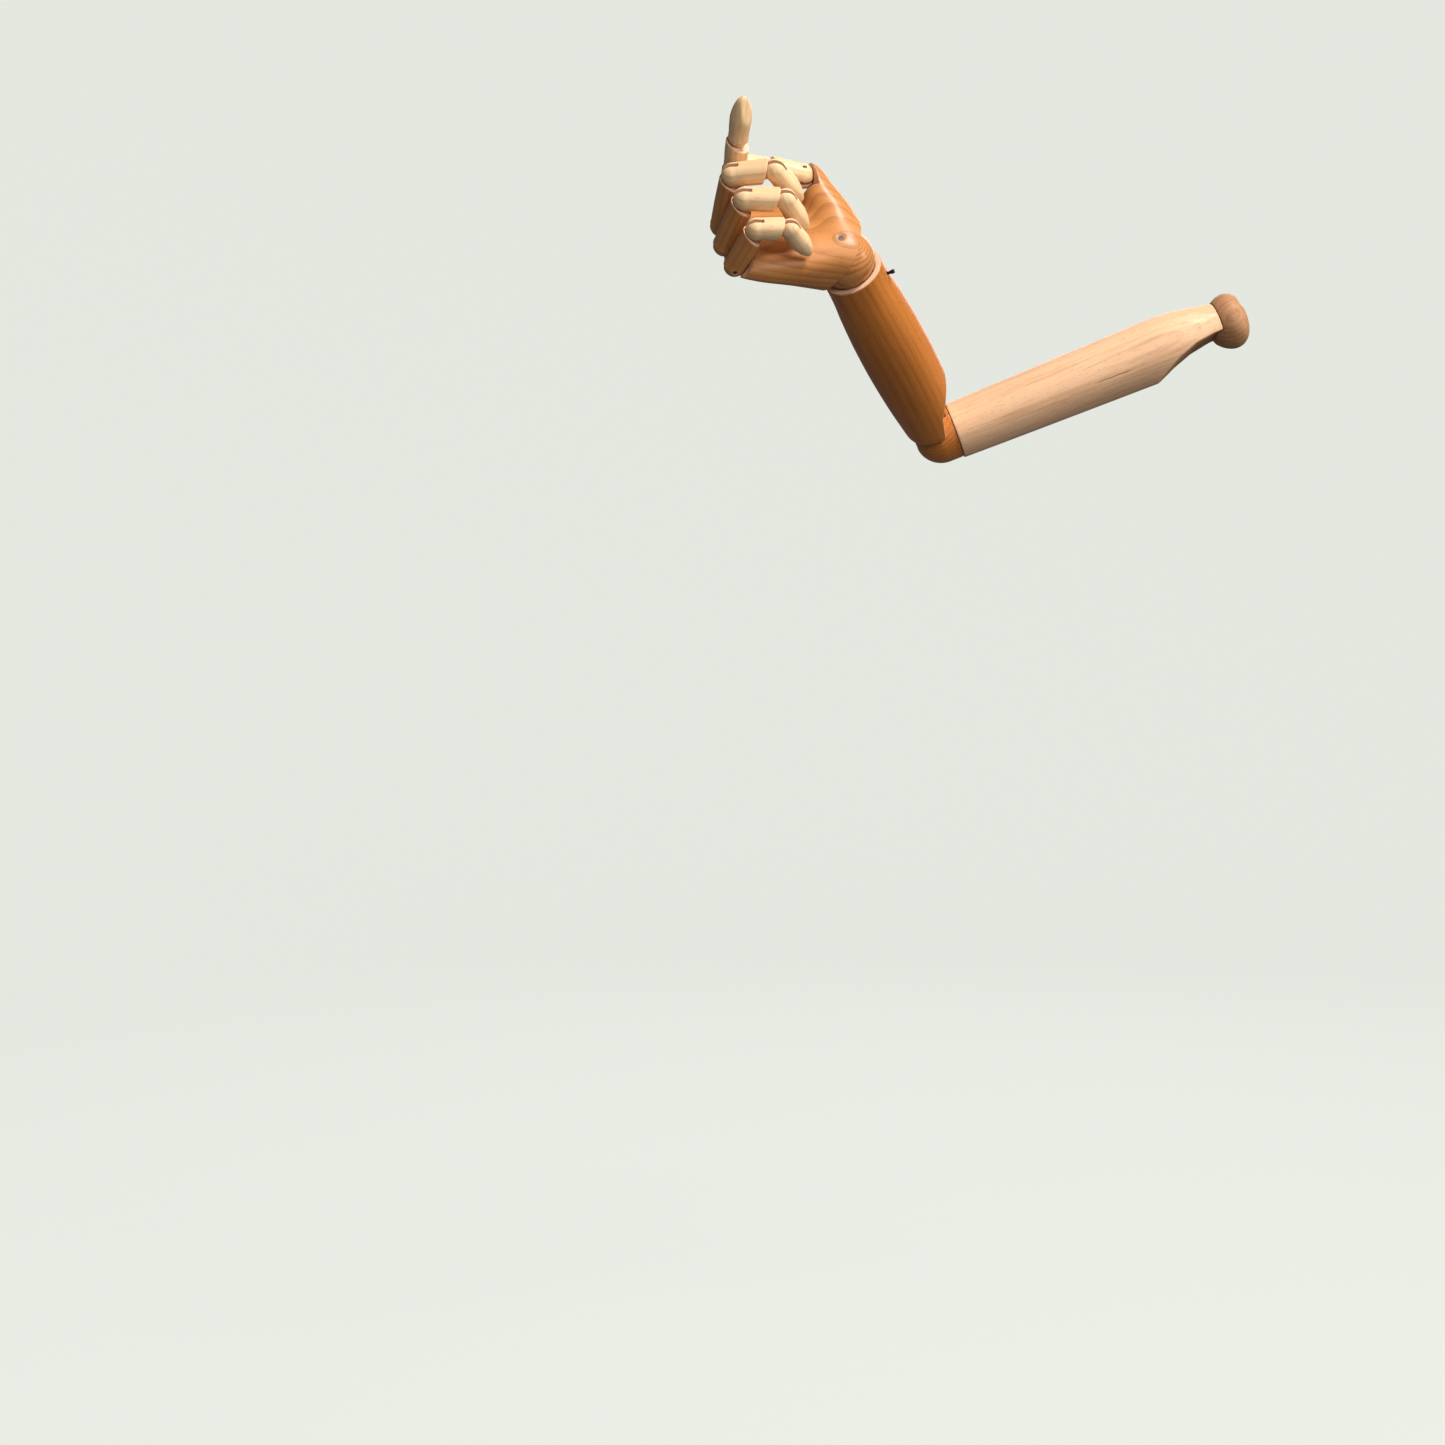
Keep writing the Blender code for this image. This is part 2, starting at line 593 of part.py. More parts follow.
def make_phalanx(name, parent, length, radius, wood, pad_turn, next_radius):
    """A ball end, a body, and either a fingertip or the socket for the next phalanx."""
    profile = ball_end(radius)
    if next_radius is None:
        for share in (0.0, 0.25, 0.5, 0.75, 0.92, 1.0):
            width = radius * math.sqrt(1 - share ** 1.5)
            profile.append((width, length * (PAD_START + (1 - PAD_START) * share)))
    else:
        profile.append((radius, length))
    body = place(name, lathe(name, profile, 16), parent, Matrix.Identity(4), wood)
    half = FINGER_TONGUE["thickness"] / 2 + GAP
    far = 20 * MM
    cut(body, "slot", box("slot", (-half, -far, -far), (half, far, SLOT_TOP)))
    low, high = FINGER_PIN_START, radius - BALL_STEP - 0.6 * MM
    hole_low = low - GAP
    if name == "little_proximal":
        low, hole_low = -high, -far
    hole_across(body, "pin_hole", FINGER_PIN_RADIUS + GAP, hole_low, far)
    pin(f"{name}_pin", parent, FINGER_PIN_RADIUS, low, high)
    if next_radius is None:
        at = turned_to("Z", pad_turn) @ turned_to("X", -PAD_SLOPE, (0, -0.95 * radius, PAD_START * length))
        cut(body, "pad", box("pad", (-far, -far, -far), (far, 0, 2 * far)), at)
        return
    at = Matrix.Translation((0, 0, length))
    cut_rim(body, "end", at, radius)
    open_socket(body, "end", at, next_radius)
    finger_tongue(f"{name}_tongue", parent, at)


def make_finger(name, hand):
    finger = FINGERS[name]
    parts = ("proximal", "middle", "distal") if name != "thumb" else ("proximal", "distal")
    radii = [radius * MM for radius in finger["radii"]]
    lengths = [length * MM for length in finger["lengths"]]
    parent, at = hand, knuckle_matrix(name)
    for index, part in enumerate(parts):
        parent = pivot(f"{name}_{part}_pivot", parent, at @ turned_to("X", finger["bends"][index]))
        next_radius = radii[index + 1] if index + 1 < len(radii) else None
        wood = "varnished_wood" if part == "proximal" and name != "thumb" else "pale_wood"
        make_phalanx(f"{name}_{part}", parent, lengths[index], radii[index], wood,
                     finger["pad_turn"], next_radius)
        at = Matrix.Translation((0, 0, lengths[index]))


def build_arm():
    arm = pivot("shoulder_pivot", None, turned_to("Z", ARM_YAW) @ turned_to("Y", ARM_PITCH))
    elbow = pivot("elbow_pivot", arm, turned_to("Z", ELBOW_ROLL, (0, 0, UPPER_LENGTH)))
    forearm = pivot("forearm_pivot", elbow, turned_to("X", ELBOW_BEND))
    wrist = pivot("wrist_pivot", forearm, turned_to("Z", WRIST_ROLL, (0, 0, FOREARM_LENGTH)))
    hand = pivot("hand_pivot", wrist, turned_to("X", WRIST_BEND))
    make_shoulder(arm)
    make_upper_arm(arm)
    make_elbow(elbow)
    make_forearm(forearm)
    make_wrist(wrist)
    make_palm(hand)
    make_wrist_ball(hand)
    for name in FINGERS:
        make_finger(name, hand)


clear_scene()
MATERIALS = make_materials()
build_arm()
bpy.context.view_layer.update()
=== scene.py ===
"""The looks of the jointed wooden mannequin arm: finely shaped and grained wood over the CAD frame.

Every wooden piece is a signed distance field in its joint's frame, in millimetres, turned into a mesh.
Each mesh vertex notes how far below the turned surface it lies, so that cut faces show bare wood.
"""

import itertools
import math

import bpy
import numpy as np
from mathutils import Matrix, Vector


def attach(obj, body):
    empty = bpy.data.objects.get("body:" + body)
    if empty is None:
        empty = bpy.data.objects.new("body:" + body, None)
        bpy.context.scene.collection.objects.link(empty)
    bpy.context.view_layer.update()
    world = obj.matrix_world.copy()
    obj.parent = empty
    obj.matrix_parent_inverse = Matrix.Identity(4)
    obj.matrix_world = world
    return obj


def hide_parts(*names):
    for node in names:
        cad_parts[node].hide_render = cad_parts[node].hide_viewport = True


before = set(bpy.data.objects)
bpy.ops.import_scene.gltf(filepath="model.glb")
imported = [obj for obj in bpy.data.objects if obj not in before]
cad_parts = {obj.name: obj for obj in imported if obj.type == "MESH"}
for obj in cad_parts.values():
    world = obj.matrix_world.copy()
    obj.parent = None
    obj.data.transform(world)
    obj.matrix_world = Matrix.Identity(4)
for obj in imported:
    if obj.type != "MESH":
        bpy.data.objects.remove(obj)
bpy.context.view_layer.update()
MM = 0.001


def turn(axis, degrees):
    return Matrix.Rotation(math.radians(degrees), 4, axis)


def shift(x, y, z):
    return Matrix.Translation((x, y, z))


# Joint frames in millimetres: +Z along the limb, +X the hinge axis, -Y the palm side of the hand.
ARM = turn("Z", -9.0) @ turn("Y", -110.6)
ELBOW = ARM @ shift(0, 0, 231.2) @ turn("Z", 35.8)
FOREARM = ELBOW @ turn("X", 83.0)
FOREARM_LENGTH = 191.9
HAND = FOREARM @ shift(0, 0, FOREARM_LENGTH) @ turn("Z", -16.0) @ turn("X", -52.0)

FAR = 300.0  # well past every piece
ELBOW_RADIUS = 20.6
BALL_RADIUS = 19.7
TURNING_GAP = 0.45  # between a ball and its cup
BALL_STEP = 0.2  # a finger's ball is this much smaller than the finger

# Shoulder knob and dowel
KNOB_LIP = -7.3  # the lip of the knob that reaches under the arm ends here
KNOB_SEAT = 10.3
HINGE_SLOT_TURN = 150.0
HINGE_SLOT_HALF = (1.8, 11.0)
HINGE_SLOT_FLOOR = 2.0
GROOVE_RADIUS = 8.0
GROOVE_CENTRE = 17.6
DOWEL_HOLE = 4.3
DOWEL_HOLE_SPAN = (4.0, 34.3)

# Upper arm and elbow knuckle
UPPER_SPAN = (10.6, 220.3)
TENON_HOLE = 7.95
TENON_HOLE_FLOOR = 185.9
ELBOW_BASE = -10.6
TENON = 7.5
TENON_SPAN = (-45.0, -9.0)
PLATE_HALF = 2.3  # half the width of the slots for the elbow's tongue
ELBOW_SLOT_FLOOR = -8.0
ELBOW_PIN_HOLE = 2.55
BLIND_END = -12.3  # where the elbow's and the wrist's pin holes stop

# Forearm
FOREARM_SPAN = (13.5, 181.0)
MORTISE = (5.3, 45.3)
TONGUE_PIN_HOLE = 1.8
TONGUE_PIN_HEIGHT = 30.0
TONGUE_PIN_END = -8.3
SHANK_HOLE = 5.5
SHANK_DEPTH = -54.8
SCREW_HOLE = 1.4
SCREW_BELOW_WRIST = 22.4
SCREW_TURN = -105.0

# Wrist ball and palm
SWING = (-62.0, 17.0)  # how far the wrist plate can swing in the ball
SHANK_SLOT = 4.3
EYE_SLOT = 7.8
WRIST_SLOT_HALF = 2.05
WRIST_PIN_HOLE = 2.3
PALM_PIN_AT = (-3.5, 0.0, 9.4)
PALM_PIN_HOLE = 1.8
PALM_PIN_END = -5.7
PALM_POWER = 2.41  # of the rounded outline across the palm
MOUND_BLEND = 10.0

# Fingers
TONGUE_HALF = 1.45
TONGUE_MORTISE = (2.8, 14.3)
FINGER_SLOT_END = 4.6
FINGER_PIN_HOLE = 1.5
FINGER_PIN_END = -5.3
RIM_BELOW_PIVOT = 6.5
RIM_RISE = 3.0
RIM_REACH = (4.0, 40.0)
FULLEST = 0.45  # the share of its length at which a phalanx is thickest
PAD_DEPTH = 0.95
PAD_SLOPE = -20.0
TIP_POWER = 1.5

# Profiles: (radius, height) for the knob, (height, radius) for the limbs, (side, height) for the cuts
KNOB_PROFILE = (
    (0.0, -10.2), (6.0, -10.4), (12.0, -9.4), (16.5, -7.2), (19.8, -3.5), (21.0, 1.0),
    (20.3, 5.5), (18.0, 10.0), (15.0, 13.5), (11.0, 16.0), (0.0, 16.5),
)
UPPER_PROFILE = (
    (10.6, 17.5), (21.0, 19.5), (36.0, 22.5), (56.0, 24.0), (81.0, 23.8), (121.0, 23.3),
    (171.0, 22.6), (212.0, 21.9), (220.3, 21.7),
)
SCOOP = (
    (-23.9, 65.0), (-21.0, 60.0), (-15.0, 48.0), (-9.5, 33.0), (-7.0, 17.5), (-7.0, -5.0),
    (-60.0, -5.0), (-60.0, 65.0),
)
FOREARM_PROFILE = (
    (13.5, 17.8), (15.0, 20.5), (18.5, 22.2), (27.0, 23.0), (55.0, 24.7), (88.0, 25.5),
    (112.0, 25.2), (128.0, 24.6), (148.0, 23.3), (163.0, 21.9), (175.0, 21.4), (181.0, 21.4),
)
INNER_CUT = ((-3.0, -5.0), (-3.0, 13.0), (-9.0, 36.0), (-25.6, 61.3), (-60.0, 61.3), (-60.0, -5.0))

# Height, little-finger side, thumb side, palm, back
PALM_SECTIONS = (
    (-14.0, 17.0, 17.0, 17.0, 17.0),
    (-4.0, 21.0, 21.0, 21.0, 21.0),
    (8.0, 22.0, 22.0, 21.5, 21.0),
    (22.0, 26.0, 26.0, 19.0, 18.0),
    (38.0, 30.5, 31.0, 16.0, 14.0),
    (55.0, 34.5, 35.5, 13.0, 11.0),
    (68.0, 35.5, 37.0, 11.0, 9.5),
    (80.0, 34.8, 37.0, 10.0, 9.0),
    (92.0, 34.5, 36.8, 10.0, 9.0),
)
THUMB_MOUND = (
    (10.0, -4.0, 4.0, 17.0),
    (24.0, -12.0, 15.0, 15.5),
    (36.0, -18.5, 26.0, 12.5),
    (44.0, -23.0, 33.0, 10.6),
    (46.0, -24.0, 39.0, 10.2),
)
HEEL_RIM = ((-20.5, -4.0), (17.5, 12.5))
KNUCKLE_CUT = ((-30.0, -18.4), (-1.0, -8.5), (8.5, -1.2), (30.0, -1.2), (30.0, 40.0), (-30.0, 40.0))
FINGERS = {
    "index": {
        "knuckle": (28.0, 0.0, 84.0), "splay": 1.0, "bends": (84.0, 0.0, 0.0),
        "lengths": (37.0, 23.0, 30.0), "radii": (8.3, 8.0, 7.4), "pad_turn": -40.0,
    },
    "middle": {
        "knuckle": (9.5, 0.0, 88.0), "splay": -1.0, "bends": (88.0, 71.0, 62.0),
        "lengths": (43.0, 28.0, 31.0), "radii": (8.4, 8.1, 7.5), "pad_turn": 0.0,
    },
    "ring": {
        "knuckle": (-9.0, 0.0, 85.0), "splay": -3.0, "bends": (97.0, 72.0, 60.0),
        "lengths": (41.0, 27.0, 30.0), "radii": (8.2, 7.9, 7.3), "pad_turn": 0.0,
    },
    "little": {
        "knuckle": (-27.0, 0.0, 77.0), "splay": -6.0, "bends": (103.0, 67.0, 56.0),
        "lengths": (34.0, 22.0, 27.0), "radii": (7.8, 7.5, 6.9), "pad_turn": 0.0,
    },
    "thumb": {
        "knuckle": (46.0, -24.0, 39.0), "splay": 0.0, "bends": (0.0, 5.0),
        "lengths": (27.0, 26.0), "radii": (8.7, 7.8), "pad_turn": 0.0,
    },
}


# Distance fields. Each takes an (N, 3) array of points and is negative inside.
# The field of a piece gives the solid, and its surface before the cuts.

def local(points, matrix):
    """The points as seen from a frame placed by the matrix."""
    inverse = np.array(matrix.inverted())
    return points @ inverse[:3, :3].T + inverse[:3, 3]


def join(first, second, blend):
    """A smooth union of two fields."""
    mix = np.clip(0.5 + 0.5 * (second - first) / blend, 0, 1)
    return second + (first - second) * mix - blend * mix * (1 - mix)


def meet(first, second, edge):
    """What two solids share, with the edge between them rounded over."""
    return -join(-first, -second, edge)


def carve(solid, tool, edge):
    """The solid less the tool, with its new edges rounded over."""
    return meet(solid, -tool, edge)


def between(points, span):
    """The slab between two heights."""
    return np.maximum(span[0] - points[:, 2], points[:, 2] - span[1])


def sphere(points, radius):
    """A ball round the origin."""
    return np.linalg.norm(points, axis=1) - radius


def rod(points, axis, radius, low, high):
    """A round bar along the x, y or z axis."""
    others = [index for index in range(3) if index != axis]
    across = np.hypot(points[:, others[0]], points[:, others[1]]) - radius
    along = np.maximum(low - points[:, axis], points[:, axis] - high)
    return np.maximum(across, along)


def block(points, low, high):
    """A box between two corners."""
    return np.maximum(np.array(low) - points, points - np.array(high)).max(axis=1)


def polygon(across, along, outline):
    """The signed distance to a closed outline in a plane."""
    best = np.full(across.shape, np.inf)
    sign = np.ones(across.shape)
    for (ax, ay), (bx, by) in zip(outline, outline[1:] + outline[:1]):
        edge_x, edge_y = bx - ax, by - ay
        to_x, to_y = across - ax, along - ay
        share = np.clip((to_x * edge_x + to_y * edge_y) / (edge_x ** 2 + edge_y ** 2), 0, 1)
        best = np.minimum(best, np.hypot(to_x - edge_x * share, to_y - edge_y * share))
        above, below = along >= ay, along >= by
        left = edge_x * to_y - edge_y * to_x > 0
        crosses = (above & ~below & ~left) | (~above & below & left)
        sign = np.where(crosses, -sign, sign)
    return best * sign


def smooth_table(rows, steps=8):
    """A finer table through the rows, along a smooth curve."""
    rows = np.array(rows, float)
    ends = np.vstack([2 * rows[0] - rows[1], rows, 2 * rows[-1] - rows[-2]])
    fine = []
    for index in range(1, len(ends) - 2):
        before, start, end, after = ends[index - 1:index + 3]
        for step in range(steps):
            t = step / steps
            fine.append(0.5 * (2 * start + (end - before) * t
                               + (2 * before - 5 * start + 4 * end - after) * t ** 2
                               + (3 * start - before - 3 * end + after) * t ** 3))
    fine.append(rows[-1])
    return np.array(fine)


def turned(points, table):
    """A long turned body: the table holds heights and radii."""
    height = points[:, 2]
    return np.hypot(points[:, 0], points[:, 1]) - np.interp(height, table[:, 0], table[:, 1])


# Meshing

def surface(field, low, high, step):
    """Points and quads of the field's zero surface, drawn onto the surface itself."""
    axes = [np.arange(a - step, b + 2 * step, step) for a, b in zip(low, high)]
    grid = np.stack(np.meshgrid(*axes, indexing="ij"), axis=-1)
    shape = grid.shape[:3]
    values = field(grid.reshape(-1, 3))[0].reshape(shape)
    inside = values < 0
    cells = tuple(size - 1 for size in shape)
    offsets = list(itertools.product((0, 1), repeat=3))

    def corner(array, offset):
        return array[tuple(slice(o, o + size) for o, size in zip(offset, cells))]

    count_inside = sum(corner(inside, offset).astype(int) for offset in offsets)
    mixed = (count_inside > 0) & (count_inside < 8)
    ids = np.full(cells, -1)
    ids[mixed] = np.arange(mixed.sum())
    where = np.argwhere(mixed)
    total = np.zeros((len(where), 3))
    count = np.zeros(len(where))
    for first in offsets:
        for axis in range(3):
            if first[axis]:
                continue
            second = tuple(1 if index == axis else o for index, o in enumerate(first))
            a, b = corner(values, first)[mixed], corner(values, second)[mixed]
            crosses = (a < 0) != (b < 0)
            share = np.where(crosses, a / np.where(crosses, a - b, 1), 0)
            place = np.array(first, float) + share[:, None] * (np.array(second) - np.array(first))
            total += place * crosses[:, None]
            count += crosses
    origin = np.array([axis[0] for axis in axes])
    points = origin + (where + total / count[:, None]) * step

    quads = []
    for axis in range(3):
        u, v = (axis + 1) % 3, (axis + 2) % 3
        low_side = [slice(None)] * 3
        high_side = [slice(None)] * 3
        low_side[axis], high_side[axis] = slice(0, -1), slice(1, None)
        a, b = inside[tuple(low_side)], inside[tuple(high_side)]
        edges = np.argwhere(a != b)
        keep = (edges[:, u] > 0) & (edges[:, v] > 0)
        keep &= (edges[:, u] < cells[u]) & (edges[:, v] < cells[v])
        edges = edges[keep]
        outward = a[tuple(edges.T)]
        ring = []
        for back_u, back_v in ((1, 1), (0, 1), (0, 0), (1, 0)):
            cell = edges.copy()
            cell[:, u] -= back_u
            cell[:, v] -= back_v
            ring.append(ids[tuple(cell.T)])
        quad = np.stack(ring, axis=1)
        quads.append(np.where(outward[:, None], quad, quad[:, ::-1]))
    quads = np.concatenate(quads)

    nudge = 0.05
    for _ in range(3):
        value = field(points)[0]
        slope = np.stack([
            (field(points + nudge * unit)[0] - field(points - nudge * unit)[0]) / (2 * nudge)
            for unit in np.eye(3)
        ], axis=1)
        size = np.maximum((slope ** 2).sum(axis=1), 0.05)
        move = -(value / size)[:, None] * slope
        length = np.linalg.norm(move, axis=1, keepdims=True)
        points = points + move * np.minimum(1, 0.4 * step / np.maximum(length, 1e-9))
    return points, quads


def build(name, field, low, high, step, at, body, material):
    """Makes one piece from a field, in place of the CAD node of the same name."""
    points, quads = surface(field, low, high, step)
    depth = -field(points)[1]
    mesh = bpy.data.meshes.new(f"{name}_look")
    matrix = np.array(at)
    placed = points @ matrix[:3, :3].T + matrix[:3, 3]
    mesh.from_pydata((placed * MM).tolist(), [], quads.tolist())
    mesh.update()
    mesh.shade_smooth()
    grain = mesh.attributes.new("grain", "FLOAT_VECTOR", "POINT")
    grain.data.foreach_set("vector", (points * MM).astype(np.float32).ravel())
    bare = mesh.attributes.new("bare", "FLOAT", "POINT")
    bare.data.foreach_set("value", np.clip((depth - 0.18) / 0.5, 0, 1).astype(np.float32))
    mesh.materials.append(material)
    obj = bpy.data.objects.new(f"{name}_look", mesh)
    bpy.context.scene.collection.objects.link(obj)
    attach(obj, body)
    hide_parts(name)
    return obj


# Pieces

def knob_field(points):
    """A turned knob with a seat for the arm's end, and a slot in a groove for the hinge plate."""
    half = [tuple(row) for row in smooth_table(KNOB_PROFILE, 4)]
    whole = half + [(-radius, height) for radius, height in reversed(half) if radius > 0]
    outer = polygon(np.hypot(points[:, 0], points[:, 1]), points[:, 2], whole)
    solid = carve(outer, block(points, (KNOB_LIP, -FAR, KNOB_SEAT), (FAR, FAR, FAR)), 0.5)
    slot = local(points, turn("Y", HINGE_SLOT_TURN))
    groove = rod(slot - np.array((0, 0, GROOVE_CENTRE)), 1, GROOVE_RADIUS, -FAR, FAR)
    solid = carve(solid, groove, 1.0)
    width, breadth = HINGE_SLOT_HALF
    solid = carve(solid, block(slot, (-width, -breadth, HINGE_SLOT_FLOOR), (width, breadth, FAR)), 0.6)
    solid = carve(solid, rod(points, 2, DOWEL_HOLE, DOWEL_HOLE_SPAN[0], FAR), 0.3)
    return solid, outer


UPPER_TABLE = smooth_table(UPPER_PROFILE)


def upper_arm_field(points):
    """A turned arm, scooped out under the shoulder."""
    outer = turned(points, UPPER_TABLE)
    solid = meet(outer, between(points, UPPER_SPAN), 0.8)
    solid = carve(solid, polygon(points[:, 0], points[:, 2], SCOOP), 0.9)
    solid = carve(solid, rod(points, 2, TENON_HOLE, TENON_HOLE_FLOOR, FAR), 0.3)
    solid = carve(solid, rod(points, 2, DOWEL_HOLE, -FAR, DOWEL_HOLE_SPAN[1]), 0.3)
    return solid, outer


def elbow_field(points):
    """A round end with a slot for the forearm's tongue, on a tenon that turns in the upper arm."""
    outer = np.where(points[:, 2] > 0, sphere(points, ELBOW_RADIUS),
                     np.hypot(points[:, 0], points[:, 1]) - ELBOW_RADIUS)
    solid = meet(outer, ELBOW_BASE - points[:, 2], 0.7)
    solid = np.minimum(solid, rod(points, 2, TENON, *TENON_SPAN))
    solid = carve(solid, block(points, (-PLATE_HALF, -FAR, ELBOW_SLOT_FLOOR), (PLATE_HALF, FAR, FAR)), 0.5)
    solid = carve(solid, rod(points, 0, ELBOW_PIN_HOLE, BLIND_END, FAR), 0.4)
    return solid, outer


FOREARM_TABLE = smooth_table(FOREARM_PROFILE)


def forearm_field(points):
    """A turned forearm with a cup at each end, cut away on the inner side so that the elbow can bend."""
    outer = turned(points, FOREARM_TABLE)
    solid = meet(outer, between(points, FOREARM_SPAN), 1.0)
    solid = carve(solid, sphere(points, ELBOW_RADIUS + TURNING_GAP), 0.8)
    solid = carve(solid, polygon(points[:, 1], points[:, 2], INNER_CUT), 1.6)
    side, depth = MORTISE
    solid = carve(solid, block(points, (-PLATE_HALF, -side, 0), (PLATE_HALF, side, depth)), 0.4)
    tongue_pin = points - np.array((0, 0, TONGUE_PIN_HEIGHT))
    solid = carve(solid, rod(tongue_pin, 0, TONGUE_PIN_HOLE, TONGUE_PIN_END, FAR), 0.3)
    wrist = points - np.array((0, 0, FOREARM_LENGTH))
    solid = carve(solid, sphere(wrist, BALL_RADIUS + TURNING_GAP), 0.7)
    solid = carve(solid, rod(wrist, 2, SHANK_HOLE, SHANK_DEPTH, 0.0), 0.3)
    screw = local(wrist, shift(0, 0, -SCREW_BELOW_WRIST) @ turn("Z", SCREW_TURN) @ turn("Y", 90))
    solid = carve(solid, rod(screw, 2, SCREW_HOLE, 0.0, FAR), 0.5)
    return solid, outer


def wrist_ball_field(points):
    """A ball with a slot for the plate on which it swings."""
    outer = sphere(points, BALL_RADIUS)
    swing = np.clip(np.arctan2(-points[:, 1], -points[:, 2]), *np.radians(SWING))
    along = np.stack([-np.sin(swing), -np.cos(swing)], axis=1)
    plane = points[:, 1:]
    reach = (plane * along).sum(axis=1)
    beside = np.linalg.norm(plane - along * np.maximum(reach, 0)[:, None], axis=1) - SHANK_SLOT
    eye = np.linalg.norm(plane, axis=1) - EYE_SLOT
    slot = np.maximum(np.minimum(beside, eye), np.abs(points[:, 0]) - WRIST_SLOT_HALF)
    solid = carve(outer, slot, 0.5)
    solid = carve(solid, rod(points, 0, WRIST_PIN_HOLE, BLIND_END, FAR), 0.5)
    palm_pin = points - np.array(PALM_PIN_AT)
    solid = carve(solid, rod(palm_pin, 1, PALM_PIN_HOLE, -FAR, PALM_PIN_END), 0.3)
    return solid, outer


PALM_TABLE = smooth_table(PALM_SECTIONS)
MOUND_TABLE = smooth_table(THUMB_MOUND, 16)


def knuckle_frame(name):
    """A finger's frame on the palm, before it bends. The thumb bends across the palm."""
    finger = FINGERS[name]
    swivel = turn("Z", -90 if name == "thumb" else 0)
    return shift(*finger["knuckle"]) @ swivel @ turn("Y", finger["splay"])


def carve_socket(solid, points, at, radius, bevel):
    """The cup for the next ball, and the mortise of its tongue."""
    seen = local(points, at)
    solid = carve(solid, sphere(seen, radius - BALL_STEP + TURNING_GAP), bevel)
    side, depth = TONGUE_MORTISE
    return carve(solid, block(seen, (-TONGUE_HALF, -side, -depth), (TONGUE_HALF, side, 0)), 0.3)


def rim_frame(at, radius):
    """The sloping plane on which a cup ends, below the pivot of the ball that it holds."""
    slope = math.degrees(math.atan2(RIM_RISE, radius))
    return at @ shift(0, 0, -RIM_BELOW_PIVOT) @ turn("X", slope)


def thumb_rim(points, at, radius):
    """The room above the thumb's cup."""
    margin, reach = RIM_REACH
    size = radius + margin
    return block(local(points, rim_frame(at, radius)), (-size, -size, 0), (size, size, reach))


def palm_outline(points):
    """The palm without its thumb mound: rounded sections that widen towards the knuckles."""
    little, thumb, palm, back = (
        np.interp(points[:, 2], PALM_TABLE[:, 0], PALM_TABLE[:, column]) for column in range(1, 5))
    half_x = np.where(points[:, 0] > 0, thumb, little)
    half_y = np.where(points[:, 1] > 0, back, palm)
    ratio = np.abs(points[:, 0] / half_x) ** PALM_POWER + np.abs(points[:, 1] / half_y) ** PALM_POWER
    return (ratio ** (1 / PALM_POWER) - 1) * np.minimum(half_x, half_y)


def thumb_mound(points):
    """Short cones along a curve, joined smoothly."""
    mound = np.full(len(points), 100.0)
    for start, end in zip(MOUND_TABLE, MOUND_TABLE[1:]):
        line = end[:3] - start[:3]
        share = np.clip((points - start[:3]) @ line / (line @ line), 0, 1)
        away = np.linalg.norm(points - start[:3] - share[:, None] * line, axis=1)
        mound = join(mound, away - (start[3] + share * (end[3] - start[3])), 0.5)
    return mound


def knuckle_spaces(points):
    """The rounded steps between the back of the hand and the fingers."""
    names = ("index", "middle", "ring", "little")
    sides = [FINGERS[name]["knuckle"][0] for name in names]
    edges = [FAR] + [(a + b) / 2 for a, b in zip(sides, sides[1:])] + [-FAR]
    space = np.full(len(points), np.inf)
    for name, high, low in zip(names, edges, edges[1:]):
        front = polygon(points[:, 1], points[:, 2] - FINGERS[name]["knuckle"][2], KNUCKLE_CUT)
        beside = np.maximum(points[:, 0] - high, low - points[:, 0])
        space = np.minimum(space, np.maximum(front, beside))
    return space


def palm_field(points):
    """The palm and thumb mound, with its cups for the wrist ball and the five fingers."""
    outer = join(palm_outline(points), thumb_mound(points), MOUND_BLEND)
    (low_y, low_z), (high_y, high_z) = HEEL_RIM
    slope = math.degrees(math.atan2(high_z - low_z, high_y - low_y))
    heel = local(points, shift(0, low_y, low_z) @ turn("X", slope))
    solid = carve(outer, heel[:, 2], 0.8)
    solid = carve(solid, sphere(points, BALL_RADIUS + TURNING_GAP), 0.8)
    palm_pin = points - np.array(PALM_PIN_AT)
    solid = carve(solid, rod(palm_pin, 1, PALM_PIN_HOLE, -FAR, 0.0), 2.0)
    solid = carve(solid, knuckle_spaces(points), 1.0)
    for name, finger in FINGERS.items():
        at = knuckle_frame(name)
        radius = finger["radii"][0]
        if name == "thumb":
            solid = carve(solid, thumb_rim(points, at, radius), 0.7)
        solid = carve_socket(solid, points, at, radius, 0.8)
    return solid, outer


